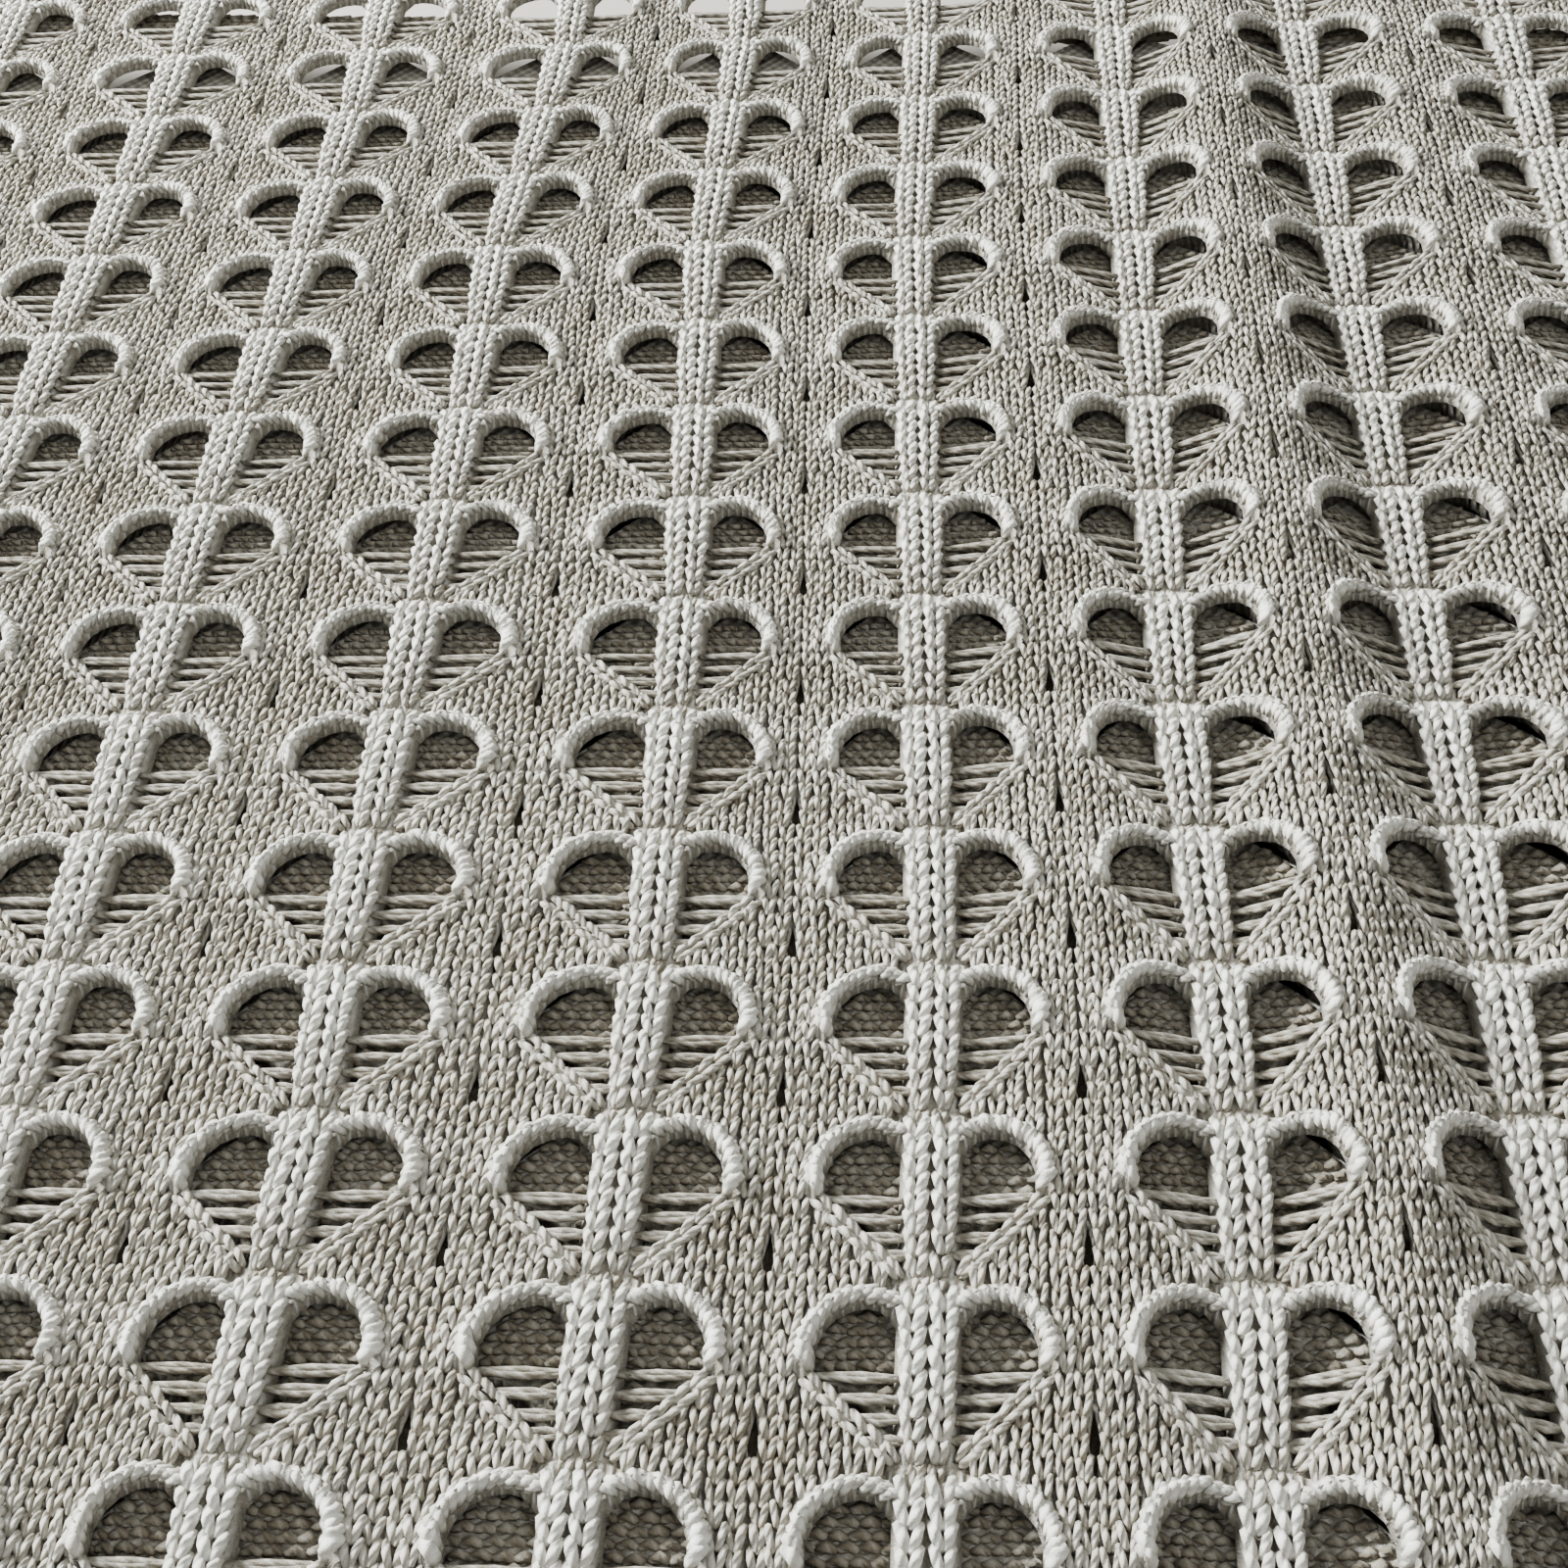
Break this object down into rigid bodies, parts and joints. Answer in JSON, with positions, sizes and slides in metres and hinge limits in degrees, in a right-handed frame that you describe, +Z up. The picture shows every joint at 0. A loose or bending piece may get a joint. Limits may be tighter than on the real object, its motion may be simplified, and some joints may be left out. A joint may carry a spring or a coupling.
{
  "type": "folded throw blanket",
  "caption": "Openwork knitted cotton throw, folded lengthways and crossways into a flat pack, with folds that open.",
  "frame": {"origin": "middle of the folded pack's footprint, on the surface that it lies on", "axes": "+X across the pack towards the open side, +Y along it from the near fold to the far hems, +Z up"},
  "size_m": [0.6512, 0.6328, 0.0325],
  "materials": {
    "openwork_knit": "matt two-ply cotton, open lace knit",
    "edge_knit": "matt two-ply cotton, firm edge stitches"
  },
  "bodies": {
    "base_panel": {"base_lower_layer": "openwork_knit", "base_lower_selvedge": "edge_knit", "base_upper_layer": "openwork_knit", "base_upper_selvedge": "edge_knit", "base_side_fold": "openwork_knit", "base_lower_hem": "edge_knit", "base_upper_hem": "edge_knit", "far_fold_inner": "openwork_knit", "far_fold_outer": "openwork_knit", "far_fold_corner": "openwork_knit"},
    "middle_panel": {"middle_lower_layer": "openwork_knit", "middle_lower_selvedge": "edge_knit", "middle_upper_layer": "openwork_knit", "middle_upper_selvedge": "edge_knit", "middle_side_fold": "openwork_knit", "near_fold_inner": "openwork_knit", "near_fold_outer": "openwork_knit", "near_fold_corner": "openwork_knit"},
    "top_panel": {"top_lower_layer": "openwork_knit", "top_lower_selvedge": "edge_knit", "top_upper_layer": "openwork_knit", "top_upper_selvedge": "edge_knit", "top_side_fold": "openwork_knit", "top_lower_hem": "edge_knit", "top_upper_hem": "edge_knit"}
  },
  "joints": [
    {"name": "far_fold", "type": "hinge", "parent": "base_panel", "child": "middle_panel", "pos_m": [0, 0.25163, 0.00985], "axis": [-1, 0, 0], "range_deg": [0, 180], "deforming": ["far_fold_inner", "far_fold_outer", "far_fold_corner"]},
    {"name": "near_fold", "type": "hinge", "parent": "middle_panel", "child": "top_panel", "pos_m": [0, -0.31407, 0.01985], "axis": [1, 0, 0], "range_deg": [0, 180], "deforming": ["near_fold_inner", "near_fold_outer", "near_fold_corner"]}
  ]
}
